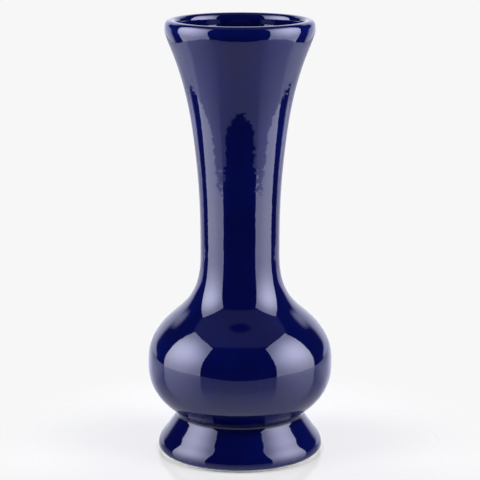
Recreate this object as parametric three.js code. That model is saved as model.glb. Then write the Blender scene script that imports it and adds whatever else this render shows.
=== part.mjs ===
// A bud vase: a round bulb on a spreading hollow foot, drawn up into a slender
// neck that flares to a small rolled lip. It is thrown as four clay sections
// luted together with slip, and glazed outside, inside and under the foot.
// Millimetres, +Z up, the standing ring on z = 0 and the axis on x = y = 0.
import * as THREE from "three";

// Overall outline, measured on the glazed surface
const HEIGHT = 200;
const LIP_R = 33.9;
const LIP_DROP = 3.8;
const CREST_INSET = 2.9;
const FLARE_R = 31.4;
const FLARE_DROP = 12;
const FLARE_LEAN = 22.6;
const THROAT_R = 21.5;
const THROAT_DROP = 50;
const THROAT_LEAN = 7.7;
const NECK_R = 18.1;
const NECK_Z = 93.3;
const SHOULDER_R = 29.4;
const SHOULDER_Z = 66;
const SHOULDER_LEAN = -50.2;
const UPPER_BULB_R = 38.1;
const UPPER_BULB_Z = 57;
const UPPER_BULB_LEAN = -34.4;
const BULB_R = 42.5;
const BULB_Z = 40.4;
const BULB_BASE_LEAN = 54.2;
const CREASE_R = 29.3;
const CREASE_Z = 17.9;
const BULB_FILLET_R = 1.3;
const BULB_FILLET_Z = 2;
const FOOT_FILLET_R = 0.9;
const FOOT_FILLET_Z = 1.9;
const FOOT_TOP_LEAN = -34;
const FOOT_MID_R = 33.7;
const FOOT_MID_Z = 11;
const FOOT_MID_LEAN = -34;
const FOOT_R = 37.9;
const FOOT_Z = 2.9;
const RECESS_TOP_LEAN = -20;

// Walls, glaze and joints
const WALL = 4.8;
const LIP_THICKNESS = 5.5;
const FLOOR_THICKNESS = 5.2;
const FOOT_WALL = 5;
const GLAZE = 0.4;
const POOLED_GLAZE = 0.9;
const SLIP = 0.6;
const NECK_JOINT_Z = 84;

// Bare standing ring
const BARE_HEIGHT = 1;
const GLAZE_EDGE_INSET = 0.95;
const GLAZE_EDGE_LEAN = 50;
const RING_BEVEL = 0.8;

// Facets round the axis
const SEGMENTS = 24;

const CLAY = { color: 0xd9cfc0, roughness: 0.85, metalness: 0 };
const SLIP_CLAY = { color: 0xcfc3b1, roughness: 0.9, metalness: 0 };
const BLUE_GLAZE = { color: 0x00083c, roughness: 0.06, metalness: 0 };

// A station is a point of an outline with the lean of its tangent from the
// vertical, in degrees, and the reach of its curve handles to either side.
function station(r, z, lean, below = 0.36, above = 0.36) {
  return { r, z, lean: THREE.MathUtils.degToRad(lean), below, above };
}

// The same station moved into the wall, square to the surface.
function inset(from, depth) {
  const r = from.r - depth * Math.cos(from.lean);
  const z = from.z + depth * Math.sin(from.lean);
  return { ...from, r, z };
}

// Points along the curves that join the stations in turn.
function outline(stations, steps) {
  const points = [new THREE.Vector2(stations[0].r, stations[0].z)];
  for (let i = 1; i < stations.length; i += 1) {
    const a = stations[i - 1];
    const b = stations[i];
    const chord = Math.hypot(b.r - a.r, b.z - a.z);
    const up = a.above * chord;
    const down = b.below * chord;
    const curve = new THREE.CubicBezierCurve(
      new THREE.Vector2(a.r, a.z),
      new THREE.Vector2(a.r + up * Math.sin(a.lean), a.z + up * Math.cos(a.lean)),
      new THREE.Vector2(b.r - down * Math.sin(b.lean), b.z - down * Math.cos(b.lean)),
      new THREE.Vector2(b.r, b.z),
    );
    points.push(...curve.getPoints(steps[i - 1]).slice(1));
  }
  return points;
}

// Adds the point where an outline that rises crosses each given height.
function withHeights(points, heights) {
  const result = [points[0]];
  for (let i = 1; i < points.length; i += 1) {
    const a = points[i - 1];
    const b = points[i];
    for (const z of heights) {
      if (z > a.y + 1e-6 && z < b.y - 1e-6) {
        result.push(a.clone().lerp(b, (z - a.y) / (b.y - a.y)));
      }
    }
    result.push(b);
  }
  return result;
}

function between(points, low, high) {
  return points.filter((p) => p.y > low - 1e-6 && p.y < high + 1e-6);
}

// A solid of revolution from a profile that runs anticlockwise round its area
// and starts and ends on the axis or closes on itself.
function revolve(name, profile, look) {
  const first = profile[0];
  const last = profile[profile.length - 1];
  const closed = first.x < 1e-6 && last.x < 1e-6 ? profile : [...profile, first];
  const geometry = new THREE.LatheGeometry(closed, SEGMENTS);
  const mesh = new THREE.Mesh(geometry, new THREE.MeshStandardMaterial(look));
  mesh.name = name;
  mesh.rotation.x = Math.PI / 2;
  return mesh;
}

// Outer surface: the foot from the glaze edge up to the crease
const footStations = [
  station(FOOT_R - GLAZE_EDGE_INSET, BARE_HEIGHT, GLAZE_EDGE_LEAN),
  station(FOOT_R, FOOT_Z, 0),
  station(FOOT_MID_R, FOOT_MID_Z, FOOT_MID_LEAN, 0.41, 0.33),
  station(CREASE_R + FOOT_FILLET_R, CREASE_Z - FOOT_FILLET_Z, FOOT_TOP_LEAN, 0.33, 0.36),
];
const footSteps = [2, 4, 3];
const crease = station(CREASE_R, CREASE_Z, 0);

// Outer surface: from the crease up to the crest of the lip
const bodyStations = [
  station(CREASE_R + BULB_FILLET_R, CREASE_Z + BULB_FILLET_Z, BULB_BASE_LEAN, 0.36, 0.31),
  station(BULB_R, BULB_Z, 0, 0.43, 0.36),
  station(UPPER_BULB_R, UPPER_BULB_Z, UPPER_BULB_LEAN, 0.44, 0.35),
  station(SHOULDER_R, SHOULDER_Z, SHOULDER_LEAN, 0.35, 0.4),
  station(NECK_R, NECK_Z, 0, 0.42, 0.32),
  station(THROAT_R, HEIGHT - THROAT_DROP, THROAT_LEAN, 0.43, 0.34),
  station(FLARE_R, HEIGHT - FLARE_DROP, FLARE_LEAN, 0.33, 0.28),
  station(LIP_R, HEIGHT - LIP_DROP, 0, 0.25, 0.54),
  station(LIP_R - CREST_INSET, HEIGHT, -90, 0.48),
];
const bodySteps = [5, 4, 3, 5, 5, 4, 2, 4];

const outerGlazed = [
  ...outline(footStations, footSteps),
  ...outline([footStations[3], crease, bodyStations[0]], [2, 2]).slice(1, -1),
  ...outline(bodyStations, bodySteps),
];

// Outer clay, one glaze thickness further in, with the seam at the crease
const seamLow = CREASE_Z - SLIP / 2;
const seamHigh = CREASE_Z + SLIP / 2;
const seamR = CREASE_R - POOLED_GLAZE;
const bellyTop = BULB_Z + SLIP;
const neckJointTop = NECK_JOINT_Z + SLIP;
const cuts = [bellyTop, NECK_JOINT_Z, neckJointTop];
const footClay = [
  ...outline(footStations.map((s) => inset(s, GLAZE)), footSteps),
  new THREE.Vector2(seamR, seamLow),
];
const bodyClay = withHeights(
  [
    new THREE.Vector2(seamR, seamHigh),
    ...outline(bodyStations.map((s) => inset(s, GLAZE)), bodySteps),
  ],
  cuts,
);

// Inner surface: from the middle of the floor up to the crest
const floorZ = seamHigh + FLOOR_THICKNESS;
const innerStations = [
  station(0, floorZ, 90, 0.36, 0.42),
  { ...inset(bodyStations[1], WALL), below: 0.4 },
  ...bodyStations.slice(2, 7).map((s) => inset(s, WALL)),
  station(LIP_R - LIP_THICKNESS, HEIGHT - LIP_DROP, 0, 0.36, 0.54),
  station(LIP_R - CREST_INSET, HEIGHT, 90, 0.48),
];
const innerSteps = [6, 4, 3, 5, 5, 4, 2, 4];
const innerGlazed = outline(innerStations, innerSteps);
const innerClay = withHeights(
  outline(innerStations.map((s) => inset(s, -GLAZE)), innerSteps),
  cuts,
);

// Underside: inside of the foot, from the standing ring up to the ceiling
const recessR = seamR - FOOT_WALL;
const recessStations = [
  ...footStations.slice(1, 3).map((s) => inset(s, FOOT_WALL)),
  station(recessR, seamLow - FOOT_FILLET_Z, RECESS_TOP_LEAN),
];
const recessSteps = [3, 3];
const recessClay = [
  ...outline(recessStations, recessSteps),
  new THREE.Vector2(recessR, seamLow),
];
const ceiling = [
  new THREE.Vector2(recessR, seamHigh),
  new THREE.Vector2(0, seamHigh),
];
const recessGlazed = [
  ...outline(recessStations.map((s) => inset(s, GLAZE)), recessSteps),
  new THREE.Vector2(recessR - GLAZE, seamHigh - GLAZE),
  new THREE.Vector2(0, seamHigh - GLAZE),
];

function footRing() {
  const glazeEdge = footClay[0];
  const ringOut = glazeEdge.x - RING_BEVEL;
  const ringIn = recessClay[0].x + RING_BEVEL / 2;
  const profile = [
    new THREE.Vector2(ringIn, 0),
    new THREE.Vector2(ringOut, 0),
    new THREE.Vector2(glazeEdge.x - RING_BEVEL / 4, RING_BEVEL / 2),
    ...footClay,
    ...recessClay.toReversed(),
  ];
  return revolve("foot_ring", profile, CLAY);
}

function footSlipSeam() {
  const profile = [
    new THREE.Vector2(recessR, seamLow),
    new THREE.Vector2(seamR, seamLow),
    new THREE.Vector2(seamR, seamHigh),
    new THREE.Vector2(recessR, seamHigh),
  ];
  return revolve("foot_slip_seam", profile, SLIP_CLAY);
}

function bowlSection() {
  const profile = [
    ...ceiling.toReversed(),
    ...between(bodyClay, seamHigh, BULB_Z),
    ...between(innerClay, 0, BULB_Z).toReversed(),
  ];
  return revolve("bowl_section", profile, CLAY);
}

// The part of the wall above the bowl between two level joints.
function wallSlice(name, low, high, look) {
  const profile = [
    ...between(bodyClay, low, high),
    ...between(innerClay, low, high).toReversed(),
  ];
  return revolve(name, profile, look);
}

function neckSection() {
  const outer = between(bodyClay, neckJointTop, HEIGHT);
  const inner = between(innerClay, neckJointTop, HEIGHT);
  return revolve("neck_section", [...outer, ...inner.toReversed().slice(1)], CLAY);
}

function outerGlaze() {
  const profile = [
    ...outerGlazed,
    ...bodyClay.toReversed(),
    ...footClay.toReversed(),
  ];
  return revolve("outer_glaze", profile, BLUE_GLAZE);
}

function innerGlaze() {
  const profile = [...innerClay, ...innerGlazed.toReversed()];
  return revolve("inner_glaze", profile, BLUE_GLAZE);
}

function baseGlaze() {
  const profile = [
    ...recessGlazed.toReversed(),
    ...recessClay,
    ...ceiling,
  ];
  return revolve("base_glaze", profile, BLUE_GLAZE);
}

const vase = new THREE.Group();
vase.name = "bud_vase";
vase.add(
  footRing(),
  footSlipSeam(),
  bowlSection(),
  wallSlice("belly_slip_seam", BULB_Z, bellyTop, SLIP_CLAY),
  wallSlice("shoulder_section", bellyTop, NECK_JOINT_Z, CLAY),
  wallSlice("neck_slip_seam", NECK_JOINT_Z, neckJointTop, SLIP_CLAY),
  neckSection(),
  outerGlaze(),
  innerGlaze(),
  baseGlaze(),
);

export default vase;
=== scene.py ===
# A cobalt-glazed bud vase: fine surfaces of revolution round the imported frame,
# procedural glaze and biscuit materials, and a plain pale studio. Metres, +Z up.
import math

import bpy
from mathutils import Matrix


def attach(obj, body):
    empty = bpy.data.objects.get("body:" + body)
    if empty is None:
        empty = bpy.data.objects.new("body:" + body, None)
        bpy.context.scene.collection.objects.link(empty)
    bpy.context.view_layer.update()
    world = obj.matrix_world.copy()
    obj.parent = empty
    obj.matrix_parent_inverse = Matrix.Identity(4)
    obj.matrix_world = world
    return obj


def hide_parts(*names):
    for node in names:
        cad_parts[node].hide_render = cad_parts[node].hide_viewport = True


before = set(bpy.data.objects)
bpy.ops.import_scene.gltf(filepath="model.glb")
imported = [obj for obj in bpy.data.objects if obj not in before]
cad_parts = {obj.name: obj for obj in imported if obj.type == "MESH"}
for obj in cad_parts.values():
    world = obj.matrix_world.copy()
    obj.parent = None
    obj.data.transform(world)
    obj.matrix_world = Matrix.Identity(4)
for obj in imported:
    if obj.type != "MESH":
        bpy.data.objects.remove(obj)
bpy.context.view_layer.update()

MM = 0.001
TOLERANCE = 1e-6

# Outline of the glazed surface, in millimetres
HEIGHT = 200.0
LIP_R, LIP_DROP, CREST_INSET = 33.9, 3.8, 2.9
FLARE_R, FLARE_DROP, FLARE_LEAN = 31.4, 12.0, 22.6
THROAT_R, THROAT_DROP, THROAT_LEAN = 21.5, 50.0, 7.7
NECK_R, NECK_Z = 18.1, 93.3
SHOULDER_R, SHOULDER_Z, SHOULDER_LEAN = 29.4, 66.0, -50.2
UPPER_BULB_R, UPPER_BULB_Z, UPPER_BULB_LEAN = 38.1, 57.0, -34.4
BULB_R, BULB_Z, BULB_BASE_LEAN = 42.5, 40.4, 54.2
CREASE_R, CREASE_Z = 29.3, 17.9
BULB_FILLET_R, BULB_FILLET_Z = 1.3, 2.0
FOOT_FILLET_R, FOOT_FILLET_Z = 0.9, 1.9
FOOT_TOP_LEAN = -34.0
FOOT_MID_R, FOOT_MID_Z, FOOT_MID_LEAN = 33.7, 11.0, -34.0
FOOT_R, FOOT_Z = 37.9, 2.9
RECESS_TOP_LEAN = -20.0

# Walls, glaze and joints, in millimetres
WALL, LIP_THICKNESS, FLOOR_THICKNESS, FOOT_WALL = 4.8, 5.5, 5.2, 5.0
GLAZE, POOLED_GLAZE, SLIP, NECK_JOINT_Z = 0.4, 0.9, 0.6, 84.0
BARE_HEIGHT, GLAZE_EDGE_INSET, GLAZE_EDGE_LEAN, RING_BEVEL = 1.0, 0.95, 50.0, 0.8

# Worked out from those: the seam in the crease, the inside of the foot and the other joints
SEAM_R = CREASE_R - POOLED_GLAZE
SEAM_LOW, SEAM_HIGH = CREASE_Z - SLIP / 2, CREASE_Z + SLIP / 2
RECESS_R = SEAM_R - FOOT_WALL
BELLY_TOP, NECK_TOP = BULB_Z + SLIP, NECK_JOINT_Z + SLIP
CUTS = [BELLY_TOP, NECK_JOINT_Z, NECK_TOP]

# Points on each curve of an outline, as in the frame, and how much finer they are here
FOOT_STEPS, CREASE_STEPS, RECESS_STEPS = [2, 4, 3], [2, 2], [3, 3]
BODY_STEPS = [5, 4, 3, 5, 5, 4, 2, 4]
INNER_STEPS = [6, 4, 3, 5, 5, 4, 2, 4]
FINE = 4
SHOWN_SEGMENTS, HIDDEN_SEGMENTS = 240, 96
SHARP_ANGLE = math.radians(38)

# Camera: the photograph's, which looks down at the vase from the front
PHOTO_WIDTH, FOCAL_PIXELS = 480.0, 1969.0
CAMERA_BACK, CAMERA_HEIGHT = 0.8796, 0.2922
CAMERA_PITCH = math.radians(12.38)
SENSOR = 36.0
CLIP_NEAR, CLIP_FAR = 0.01, 50.0

# Glaze colours, and the heights in millimetres over which it changes
DEEP_GLAZE = (0.0003, 0.0010, 0.030, 1.0)
THIN_GLAZE = (0.0008, 0.0050, 0.090, 1.0)
DARK_GLAZE = (0.0005, 0.0012, 0.020, 1.0)
LIP_THINS = (HEIGHT - 7.5, HEIGHT - 2.5)
CREST_THICKENS = (HEIGHT - 1.8, HEIGHT - 0.2)
FOOT_THICKENS = (1.2, 3.4)
CREASE_FILLS = (CREASE_Z - 2.9, CREASE_Z - 0.7)
CREASE_CLEARS = (CREASE_Z + 0.5, CREASE_Z + 3.3)
GLOSS_FALLS = (CREASE_Z + 0.5, CREASE_Z + 1.7)
GLOSS_RISES = (CREASE_Z + 3.6, CREASE_Z + 6.1)
RIPPLE_RISES = (72.0, 100.0)

# How thin the glaze looks at its edges, and how glossy it is on the foot, above it and on the bulb
LIP_THINNESS, CREST_SHARE, FOOT_THINNESS, DRIFT_THINNESS = 0.35, 0.35, 0.8, 0.22
FOOT_GLOSS, CREASE_GLOSS, BULB_GLOSS_GAIN = 0.39, 0.22, 0.28
GLAZE_IOR, GLAZE_TINT = 1.60, (0.69, 0.70, 1.0, 1.0)
RIPPLE_BELOW_NECK, SWELL, PEEL, GLAZE_RELIEF = 0.12, 0.9, 0.08, 0.00006

# Unglazed clay and slip: light and dark colours and the depth of the grain. The biscuit's greys are
# whitish clay darkened with painted shade
BISCUIT_WITH_PAINTED_SHADE = ((0.57, 0.57, 0.57, 1.0), (0.48, 0.475, 0.465, 1.0), 0.00006)
SLIP_CLAY = ((0.64, 0.57, 0.47, 1.0), (0.53, 0.45, 0.35, 1.0), 0.00003)
SPECK = (0.20, 0.14, 0.09, 1.0)

# Softboxes: upright, at the left and the right and a little to the front
BOX_DISTANCE = 0.60
BOX_LEFT, BOX_RIGHT = math.radians(-76.5), math.radians(73.3)
BOX_WIDTH, BOX_LOW, BOX_HIGH, BOX_RADIANCE = 0.655, -0.30, 0.86, 10.1
GLOW_BACK, GLOW_UP, GLOW_REACH, GLOW_EDGE = 0.06, 0.575, 0.50, 0.33

# Table: its plan and the distances over which its colour changes, as painted shade and painted light
TABLE_FRONT, TABLE_BACK, TABLE_HALF, TABLE_CORNER = -0.29, 1.6, 0.37, 0.16
FRONT_TURNS, SIDE_TURNS, BACK_TURNS = (-0.16, -0.06), (0.04, 0.16), (0.01, 0.08)
# For the camera the floor has a painted glow that starts just outside the foot, leaving a painted contact
# shadow round it
SEEN_TURNS, GLOW_RISES, TABLE_FADES = (-0.06, -0.01), (0.0370, 0.0405), (0.055, 0.14)
FLOOR_GLOW, FLOOR_GLOW_SHARE = (1.0, 1.0, 1.02, 1.0), 0.45
TABLE_ROUGHNESS, TABLE_IOR, TABLE_GLOSS = 0.07, 1.45, (0.28, 0.50)

# World: the backdrop's edges, the ceiling's and its fixture's, as parts of a direction
BACKGROUND = (0.93, 0.93, 0.935, 1.0)
LAMP_COLOUR, ROOM_LIGHT = (1.15, 1.16, 1.42, 1.0), 0.02
BACKDROP_SIDES, BACKDROP_TOP = (0.56, 0.68), (0.48, 0.62)
WAIST, WAIST_RISES, WAIST_FALLS = 0.15, (-0.05, 0.10), (0.30, 0.50)
CEILING, CEILING_SHAPE, CEILING_RISES = 0.17, (1.0, 1.32, 0.0), (0.2, 0.4)
CEILING_EDGE, FIXTURE_EDGE = (0.64, 0.72), (0.16, 0.24)


def station(r, z, lean, below=0.36, above=0.36):
    """A point of an outline, its tangent's lean from the vertical and the reach of its handles."""
    return (r, z, math.radians(lean), below, above)


def inset(s, depth):
    """The same station at a depth under the surface, or outside it when that is negative."""
    r, z, lean, below, above = s
    return (r - depth * math.cos(lean), z + depth * math.sin(lean), lean, below, above)


def outline(stations, steps):
    """Points along the cubic curves that join the stations."""
    points = [stations[0][:2]]
    for a, b, count in zip(stations, stations[1:], steps):
        chord = math.hypot(b[0] - a[0], b[1] - a[1])
        up, down = a[4] * chord, b[3] * chord
        p1 = (a[0] + up * math.sin(a[2]), a[1] + up * math.cos(a[2]))
        p2 = (b[0] - down * math.sin(b[2]), b[1] - down * math.cos(b[2]))
        count *= FINE
        for k in range(1, count + 1):
            t = k / count
            u = 1 - t
            w = (u ** 3, 3 * u * u * t, 3 * u * t * t, t ** 3)
            points.append(tuple(
                w[0] * a[i] + w[1] * p1[i] + w[2] * p2[i] + w[3] * b[i] for i in (0, 1)
            ))
    return points


def with_heights(points, heights):
    """Adds the point where a rising outline crosses each height."""
    result = [points[0]]
    for a, b in zip(points, points[1:]):
        for z in heights:
            if a[1] + TOLERANCE < z < b[1] - TOLERANCE:
                t = (z - a[1]) / (b[1] - a[1])
                result.append((a[0] + t * (b[0] - a[0]), z))
        result.append(b)
    return result


def between(points, low, high):
    return [p for p in points if low - TOLERANCE < p[1] < high + TOLERANCE]


def lathe(name, profile, segments):
    """A closed solid of revolution from a profile, in millimetres, that runs anticlockwise."""
    on_axis = profile[0][0] < TOLERANCE and profile[-1][0] < TOLERANCE
    verts, rings, faces = [], [], []
    for r, z in profile:
        count = 1 if r < TOLERANCE else segments
        rings.append([len(verts) + j for j in range(count)])
        for j in range(count):
            angle = 2 * math.pi * j / segments
            verts.append((r * MM * math.cos(angle), r * MM * math.sin(angle), z * MM))
    pairs = list(zip(rings, rings[1:])) + ([] if on_axis else [(rings[-1], rings[0])])
    for low, high in pairs:
        for j in range(segments):
            k = (j + 1) % segments
            if len(low) == 1:
                faces.append((low[0], high[k], high[j]))
            elif len(high) == 1:
                faces.append((low[j], low[k], high[0]))
            else:
                faces.append((low[j], low[k], high[k], high[j]))
    mesh = bpy.data.meshes.new(name)
    mesh.from_pydata(verts, [], faces)
    mesh.shade_smooth()
    mesh.set_sharp_from_angle(angle=SHARP_ANGLE)
    piece = bpy.data.objects.new(name, mesh)
    bpy.context.scene.collection.objects.link(piece)
    return piece


def node(tree, kind, **values):
    made = tree.nodes.new(kind)
    for key, value in values.items():
        setattr(made, key, value)
    return made


def noise(tree, vector, scale, detail):
    made = node(tree, "ShaderNodeTexNoise")
    made.inputs["Scale"].default_value = scale
    made.inputs["Detail"].default_value = detail
    tree.links.new(vector, made.inputs["Vector"])
    return made.outputs["Fac"]


def remap(tree, value, span, target=(0.0, 1.0)):
    """Maps a value smoothly from one span to another."""
    made = node(tree, "ShaderNodeMapRange", interpolation_type="SMOOTHSTEP")
    tree.links.new(value, made.inputs["Value"])
    for key, number in zip(("From Min", "From Max", "To Min", "To Max"), (*span, *target)):
        made.inputs[key].default_value = number
    return made.outputs["Result"]


def over_heights(tree, z, span, target=(0.0, 1.0)):
    """Maps the height smoothly from a span in millimetres."""
    return remap(tree, z, (span[0] * MM, span[1] * MM), target)


def combine(tree, operation, a, b):
    made = node(tree, "ShaderNodeMath", operation=operation)
    for socket, value in zip(made.inputs, (a, b)):
        if isinstance(value, (int, float)):
            socket.default_value = value
        else:
            tree.links.new(value, socket)
    return made.outputs["Value"]


def vector_math(tree, operation, a, b=None):
    made = node(tree, "ShaderNodeVectorMath", operation=operation)
    tree.links.new(a, made.inputs[0])
    if b is not None:
        made.inputs[1].default_value = b
    return made.outputs["Value" if operation == "LENGTH" else "Vector"]


def axes(tree, vector):
    """The X, Y and Z of a vector, by name."""
    made = node(tree, "ShaderNodeSeparateXYZ")
    tree.links.new(vector, made.inputs["Vector"])
    return made.outputs


def mix_colour(tree, factor, a, b):
    made = node(tree, "ShaderNodeMix", data_type="RGBA")
    tree.links.new(factor, made.inputs[0])
    for socket, value in zip((made.inputs[6], made.inputs[7]), (a, b)):
        if isinstance(value, tuple):
            socket.default_value = value
        else:
            tree.links.new(value, socket)
    return made.outputs[2]


def mix_shader(tree, factor, a, b):
    made = node(tree, "ShaderNodeMixShader")
    for socket, value in zip(made.inputs, (factor, a, b)):
        tree.links.new(value, socket)
    return made.outputs["Shader"]


def new_material(name):
    material = bpy.data.materials.new(name)
    material.use_nodes = True
    tree = material.node_tree
    place = node(tree, "ShaderNodeTexCoord").outputs["Object"]
    return material, tree, tree.nodes["Principled BSDF"], place


def bump(tree, shader, height, distance):
    made = node(tree, "ShaderNodeBump")
    made.inputs["Strength"].default_value = 1.0
    made.inputs["Distance"].default_value = distance
    tree.links.new(height, made.inputs["Height"])
    tree.links.new(made.outputs["Normal"], shader.inputs["Normal"])


def glaze_colour(tree, place, z):
    """Brighter where it is thin, at the lip, the foot's edge and in a drift, and darker in the crease."""
    lip = over_heights(tree, z, LIP_THINS, (0.0, LIP_THINNESS))
    crest = over_heights(tree, z, CREST_THICKENS, (1.0, CREST_SHARE))
    foot = over_heights(tree, z, FOOT_THICKENS, (FOOT_THINNESS, 0.0))
    edges = combine(tree, "MAXIMUM", combine(tree, "MULTIPLY", lip, crest), foot)
    drift = remap(tree, noise(tree, place, 38.0, 3.0), (0.35, 0.70), (0.0, DRIFT_THINNESS))
    thinness = combine(tree, "MAXIMUM", edges, drift)
    fills = over_heights(tree, z, CREASE_FILLS)
    clears = over_heights(tree, z, CREASE_CLEARS, (1.0, 0.0))
    crease = combine(tree, "MULTIPLY", fills, clears)
    colour = mix_colour(tree, thinness, DEEP_GLAZE, THIN_GLAZE)
    colour = mix_colour(tree, crease, colour, DARK_GLAZE)
    specks = remap(tree, noise(tree, place, 2400.0, 1.0), (0.74, 0.80), (0.0, 0.6))
    return mix_colour(tree, specks, colour, DARK_GLAZE)


def glaze_gloss(tree, z):
    """Least in the crease, where the foot's gloss ends and the bulb's begins."""
    foot = over_heights(tree, z, GLOSS_FALLS, (FOOT_GLOSS, CREASE_GLOSS))
    bulb = over_heights(tree, z, GLOSS_RISES, (0.0, BULB_GLOSS_GAIN))
    return combine(tree, "ADD", foot, bulb)


def glaze_relief(tree, place, z):
    """A slow swell, a fine peel and a ripple that is strongest on the neck."""
    on_neck = over_heights(tree, z, RIPPLE_RISES, (RIPPLE_BELOW_NECK, 1.0))
    ripple = combine(tree, "MULTIPLY", noise(tree, place, 210.0, 1.5), on_neck)
    swell = combine(tree, "MULTIPLY", noise(tree, place, 45.0, 1.0), SWELL)
    peel = combine(tree, "MULTIPLY", noise(tree, place, 900.0, 1.0), PEEL)
    return combine(tree, "ADD", combine(tree, "ADD", ripple, swell), peel)


def glaze_material():
    """Deep cobalt gloss."""
    material, tree, shader, place = new_material("cobalt_glaze")
    z = axes(tree, place)["Z"]
    tree.links.new(glaze_colour(tree, place, z), shader.inputs["Base Color"])
    rough = remap(tree, noise(tree, place, 60.0, 2.0), (0.3, 0.7), (0.025, 0.055))
    tree.links.new(rough, shader.inputs["Roughness"])
    tree.links.new(glaze_gloss(tree, z), shader.inputs["Specular IOR Level"])
    shader.inputs["IOR"].default_value = GLAZE_IOR
    shader.inputs["Specular Tint"].default_value = GLAZE_TINT
    bump(tree, shader, glaze_relief(tree, place, z), GLAZE_RELIEF)
    return material


def clay_material(name, light, dark, grain):
    """Unglazed clay: fine grain, a few dark specks and a slow drift between two colours."""
    material, tree, shader, place = new_material(name)
    drift = remap(tree, noise(tree, place, 90.0, 4.0), (0.3, 0.7))
    colour = mix_colour(tree, drift, light, dark)
    specks = remap(tree, noise(tree, place, 1600.0, 2.0), (0.66, 0.72), (0.0, 0.7))
    tree.links.new(mix_colour(tree, specks, colour, SPECK), shader.inputs["Base Color"])
    rough = remap(tree, noise(tree, place, 700.0, 3.0), (0.3, 0.7), (0.72, 0.92))
    tree.links.new(rough, shader.inputs["Roughness"])
    bump(tree, shader, noise(tree, place, 1800.0, 4.0), grain)
    return material


def add(name, profile, material, segments):
    """Makes a piece that stands for the frame's node of the same name."""
    piece = lathe(name + "_fine", profile, segments)
    piece.data.materials.append(material)
    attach(piece, "root")
    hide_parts(name)


def build_camera():
    data = bpy.data.cameras.new("photo_camera")
    data.sensor_width = SENSOR
    data.lens = FOCAL_PIXELS / PHOTO_WIDTH * SENSOR
    data.clip_start, data.clip_end = CLIP_NEAR, CLIP_FAR
    camera = bpy.data.objects.new("photo_camera", data)
    camera.location = (0.0, -CAMERA_BACK, CAMERA_HEIGHT)
    camera.rotation_euler = (math.pi / 2 - CAMERA_PITCH, 0.0, 0.0)
    bpy.context.scene.collection.objects.link(camera)
    bpy.context.scene.camera = camera


def foot_stations():
    """The glazed foot, from the edge of its glaze up to the crease."""
    return [
        station(FOOT_R - GLAZE_EDGE_INSET, BARE_HEIGHT, GLAZE_EDGE_LEAN),
        station(FOOT_R, FOOT_Z, 0),
        station(FOOT_MID_R, FOOT_MID_Z, FOOT_MID_LEAN, 0.41, 0.33),
        station(CREASE_R + FOOT_FILLET_R, CREASE_Z - FOOT_FILLET_Z, FOOT_TOP_LEAN, 0.33, 0.36),
    ]


def body_stations():
    """The glazed body, from above the crease up to the crest of the lip."""
    return [
        station(CREASE_R + BULB_FILLET_R, CREASE_Z + BULB_FILLET_Z, BULB_BASE_LEAN, 0.36, 0.31),
        station(BULB_R, BULB_Z, 0, 0.43, 0.36),
        station(UPPER_BULB_R, UPPER_BULB_Z, UPPER_BULB_LEAN, 0.44, 0.35),
        station(SHOULDER_R, SHOULDER_Z, SHOULDER_LEAN, 0.35, 0.4),
        station(NECK_R, NECK_Z, 0, 0.42, 0.32),
        station(THROAT_R, HEIGHT - THROAT_DROP, THROAT_LEAN, 0.43, 0.34),
        station(FLARE_R, HEIGHT - FLARE_DROP, FLARE_LEAN, 0.33, 0.28),
        station(LIP_R, HEIGHT - LIP_DROP, 0, 0.25, 0.54),
        station(LIP_R - CREST_INSET, HEIGHT, -90, 0.48),
    ]


def outer_outlines(foot, body):
    """The outside of the glaze, and the clay under it below and above the seam in the crease."""
    crease = station(CREASE_R, CREASE_Z, 0)
    glazed = (
        outline(foot, FOOT_STEPS)
        + outline([foot[-1], crease, body[0]], CREASE_STEPS)[1:-1]
        + outline(body, BODY_STEPS)
    )
    foot_clay = outline([inset(s, GLAZE) for s in foot], FOOT_STEPS) + [(SEAM_R, SEAM_LOW)]
    body_clay = [(SEAM_R, SEAM_HIGH)] + outline([inset(s, GLAZE) for s in body], BODY_STEPS)
    return glazed, foot_clay, with_heights(body_clay, CUTS)


def inner_outlines(body):
    """The inner glaze and the clay behind it, from the middle of the floor up to the crest."""
    r, z, lean, _, above = inset(body[1], WALL)
    inner = [
        station(0, SEAM_HIGH + FLOOR_THICKNESS, 90, 0.36, 0.42),
        (r, z, lean, 0.4, above),
        *[inset(s, WALL) for s in body[2:-2]],
        station(LIP_R - LIP_THICKNESS, HEIGHT - LIP_DROP, 0, 0.36, 0.54),
        station(LIP_R - CREST_INSET, HEIGHT, 90, 0.48),
    ]
    clay = outline([inset(s, -GLAZE) for s in inner], INNER_STEPS)
    return outline(inner, INNER_STEPS), with_heights(clay, CUTS)


def recess_outlines(foot):
    """The glaze inside the foot and the clay behind it, from the standing ring upwards."""
    recess = [inset(s, FOOT_WALL) for s in foot[1:3]]
    recess.append(station(RECESS_R, SEAM_LOW - FOOT_FILLET_Z, RECESS_TOP_LEAN))
    clay = outline(recess, RECESS_STEPS) + [(RECESS_R, SEAM_LOW)]
    glazed = outline([inset(s, GLAZE) for s in recess], RECESS_STEPS)
    glazed += [(RECESS_R - GLAZE, SEAM_HIGH - GLAZE), (0, SEAM_HIGH - GLAZE)]
    return glazed, clay


def ring_outline(inner_r, outer_r):
    """The flat bare standing ring, softened at its outer edge."""
    return [
        (inner_r + RING_BEVEL / 2, 0),
        (outer_r - RING_BEVEL, 0),
        (outer_r - RING_BEVEL * 0.55, RING_BEVEL * 0.12),
        (outer_r - RING_BEVEL / 4, RING_BEVEL / 2),
    ]


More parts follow.
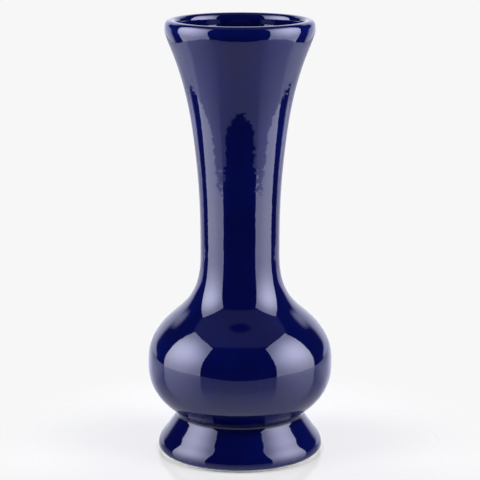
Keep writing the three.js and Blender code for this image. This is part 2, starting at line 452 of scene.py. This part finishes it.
def build_vase():
    """The ten pieces, cut from the same outlines as the frame's nodes."""
    foot, body = foot_stations(), body_stations()
    outer_glazed, foot_clay, body_clay = outer_outlines(foot, body)
    inner_glazed, inner_clay = inner_outlines(body)
    recess_glazed, recess_clay = recess_outlines(foot)
    ring = ring_outline(recess_clay[0][0], foot_clay[0][0])
    ceiling = [(RECESS_R, SEAM_HIGH), (0, SEAM_HIGH)]
    seam = [(RECESS_R, SEAM_LOW), (SEAM_R, SEAM_LOW), (SEAM_R, SEAM_HIGH), (RECESS_R, SEAM_HIGH)]

    def wall(low, high):
        return between(body_clay, low, high) + between(inner_clay, low, high)[::-1]

    # Both sides of the neck's wall end at the crest, which is kept once
    outer_neck, inner_neck = (between(side, NECK_TOP, HEIGHT) for side in (body_clay, inner_clay))
    neck = outer_neck + inner_neck[::-1][1:]
    bowl = between(body_clay, SEAM_HIGH, BULB_Z) + between(inner_clay, 0, BULB_Z)[::-1]

    glaze = glaze_material()
    # The biscuit on the standing ring is greyed by painted shade
    clay = clay_material("biscuit", *BISCUIT_WITH_PAINTED_SHADE)
    slip = clay_material("slip", *SLIP_CLAY)
    shown, hidden = SHOWN_SEGMENTS, HIDDEN_SEGMENTS
    add("outer_glaze", outer_glazed + body_clay[::-1] + foot_clay[::-1], glaze, shown)
    add("inner_glaze", inner_clay + inner_glazed[::-1], glaze, shown)
    add("base_glaze", recess_glazed[::-1] + recess_clay + ceiling, glaze, shown)
    add("foot_ring", ring + foot_clay + recess_clay[::-1], clay, shown)
    add("bowl_section", ceiling[::-1] + bowl, clay, hidden)
    add("shoulder_section", wall(BELLY_TOP, NECK_JOINT_Z), clay, hidden)
    add("neck_section", neck, clay, hidden)
    add("foot_slip_seam", seam, slip, hidden)
    add("belly_slip_seam", wall(BULB_Z, BELLY_TOP), slip, hidden)
    add("neck_slip_seam", wall(NECK_JOINT_Z, NECK_TOP), slip, hidden)


def soften(lamp, azimuth):
    """A softbox is brightest round its lamp, a little above and behind the middle of the cloth."""
    lamp.use_nodes = True
    tree = lamp.node_tree
    across = node(tree, "ShaderNodeNewGeometry").outputs["Parametric"]
    centre = (0.5 + math.copysign(GLOW_BACK, azimuth), GLOW_UP, 0.0)
    off = vector_math(tree, "SUBTRACT", across, centre)
    metres = vector_math(tree, "MULTIPLY", off, (lamp.size, lamp.size_y, 0.0))
    reach = vector_math(tree, "LENGTH", metres)
    glow = remap(tree, reach, (0.0, GLOW_REACH), (1.0, GLOW_EDGE))
    tree.links.new(glow, tree.nodes["Emission"].inputs["Strength"])


def build_softboxes():
    height = BOX_HIGH - BOX_LOW
    for name, azimuth in (("softbox_left", BOX_LEFT), ("softbox_right", BOX_RIGHT)):
        data = bpy.data.lights.new(name, "AREA")
        data.shape = "RECTANGLE"
        data.size, data.size_y = BOX_WIDTH, height
        data.energy = BOX_RADIANCE * math.pi * BOX_WIDTH * height
        soften(data, azimuth)
        box = bpy.data.objects.new(name, data)
        box.location = (
            BOX_DISTANCE * math.sin(azimuth),
            -BOX_DISTANCE * math.cos(azimuth),
            (BOX_LOW + BOX_HIGH) / 2,
        )
        box.rotation_euler = (math.pi / 2, 0.0, azimuth)
        box.visible_camera = False
        bpy.context.scene.collection.objects.link(box)


def table_colour(tree, place, camera_ray):
    """Darker in front and at each side, a painted shade, and paler behind, a painted light, as the glaze
    mirrors it; for the camera it is darker in front, a painted shade.
    """
    # The darker front and side colours are painted shade, the paler one behind is painted light, and the
    # camera's darker front colour is painted shade
    front, middle = (0.44, 0.44, 0.52, 1.0), (0.66, 0.66, 0.70, 1.0)
    sides, behind = (0.42, 0.43, 0.60, 1.0), (0.82, 0.84, 1.0, 1.0)
    seen_front_shade, seen_behind = (0.46, 0.46, 0.455, 1.0), (0.69, 0.69, 0.65, 1.0)
    at = axes(tree, place)
    mirrored = mix_colour(tree, remap(tree, at["Y"], FRONT_TURNS), front, middle)
    side_shade = remap(tree, combine(tree, "ABSOLUTE", at["X"], 0.0), SIDE_TURNS)
    mirrored = mix_colour(tree, side_shade, mirrored, sides)
    mirrored = mix_colour(tree, remap(tree, at["Y"], BACK_TURNS), mirrored, behind)
    seen = mix_colour(tree, remap(tree, at["Y"], SEEN_TURNS), seen_front_shade, seen_behind)
    return mix_colour(tree, camera_ray, mirrored, seen)


def table_material():
    """Glossy, and for the camera lit round the foot by a painted glow that is missing close to the foot
    as a painted contact shadow, and clear away from the vase.
    """
    material, tree, shader, place = new_material("table_gloss")
    camera_ray = node(tree, "ShaderNodeLightPath").outputs["Is Camera Ray"]
    tree.links.new(table_colour(tree, place, camera_ray), shader.inputs["Base Color"])
    shader.inputs["Roughness"].default_value = TABLE_ROUGHNESS
    shader.inputs["IOR"].default_value = TABLE_IOR
    gloss = remap(tree, camera_ray, (0.0, 1.0), TABLE_GLOSS)
    tree.links.new(gloss, shader.inputs["Specular IOR Level"])
    distance = vector_math(tree, "LENGTH", place)
    glow = node(tree, "ShaderNodeEmission")
    glow.inputs["Color"].default_value = FLOOR_GLOW
    clear = node(tree, "ShaderNodeBsdfTransparent")
    # Painted light: an even glow for the camera, which fades out close to the foot as a painted contact
    # shadow
    glow_past_contact_shadow = remap(tree, distance, GLOW_RISES, (0.0, FLOOR_GLOW_SHARE))
    lit = mix_shader(tree, combine(tree, "MULTIPLY", camera_ray, glow_past_contact_shadow),
                     shader.outputs["BSDF"], glow.outputs["Emission"])
    fades = remap(tree, distance, TABLE_FADES)
    blend = mix_shader(tree, combine(tree, "MULTIPLY", fades, camera_ray),
                       lit, clear.outputs["BSDF"])
    tree.links.new(blend, tree.nodes["Material Output"].inputs["Surface"])
    return material


def build_table():
    """A pale table with rounded front corners that melts into the background."""
    edge = [(-TABLE_HALF, TABLE_BACK, 0)]
    for side, first in ((-1, 180), (1, 270)):
        for degrees in range(first, first + 91, 10):
            turn = math.radians(degrees)
            edge.append((side * (TABLE_HALF - TABLE_CORNER) + TABLE_CORNER * math.cos(turn),
                         TABLE_FRONT + TABLE_CORNER + TABLE_CORNER * math.sin(turn), 0))
    edge.append((TABLE_HALF, TABLE_BACK, 0))
    mesh = bpy.data.meshes.new("table")
    mesh.from_pydata(edge, [], [range(len(edge))])
    mesh.materials.append(table_material())
    table = bpy.data.objects.new("table", mesh)
    bpy.context.scene.collection.objects.link(table)


def backdrop_light(tree, facing):
    """The white backdrop behind the vase, narrower in a waist above the table's level."""
    rises = remap(tree, facing["Z"], WAIST_RISES, (0.0, WAIST))
    falls = remap(tree, facing["Z"], WAIST_FALLS, (1.0, 0.0))
    waist = combine(tree, "MULTIPLY", rises, falls)
    back = remap(tree, combine(tree, "SUBTRACT", facing["Y"], waist), BACKDROP_SIDES)
    return combine(tree, "MULTIPLY", back, remap(tree, facing["Z"], BACKDROP_TOP, (1.0, 0.0)))


def ceiling_light(tree, direction, facing):
    """A dim oval ceiling with a dark round fixture in its middle."""
    out = vector_math(tree, "LENGTH", vector_math(tree, "MULTIPLY", direction, CEILING_SHAPE))
    oval = remap(tree, out, CEILING_EDGE, (CEILING, 0.0))
    ceiling = combine(tree, "MULTIPLY", oval, remap(tree, out, FIXTURE_EDGE))
    return combine(tree, "MULTIPLY", ceiling, remap(tree, facing["Z"], CEILING_RISES))


def build_world():
    """What the glaze mirrors: a backdrop, a ceiling and a dark room. The camera sees a pale ground."""
    world = bpy.data.worlds.new("studio")
    world.use_nodes = True
    bpy.context.scene.world = world
    tree = world.node_tree
    direction = node(tree, "ShaderNodeTexCoord").outputs["Generated"]
    facing = axes(tree, direction)
    light = combine(tree, "ADD", backdrop_light(tree, facing), ROOM_LIGHT)
    light = combine(tree, "ADD", light, ceiling_light(tree, direction, facing))
    lamp = node(tree, "ShaderNodeBackground")
    lamp.inputs["Color"].default_value = LAMP_COLOUR
    tree.links.new(light, lamp.inputs["Strength"])
    view = node(tree, "ShaderNodeBackground")
    view.inputs["Color"].default_value = BACKGROUND
    camera_ray = node(tree, "ShaderNodeLightPath").outputs["Is Camera Ray"]
    blend = mix_shader(tree, camera_ray, lamp.outputs["Background"], view.outputs["Background"])
    tree.links.new(blend, tree.nodes["World Output"].inputs["Surface"])


bpy.context.scene.view_settings.view_transform = "Standard"
build_camera()
build_vase()
build_softboxes()
build_table()
build_world()
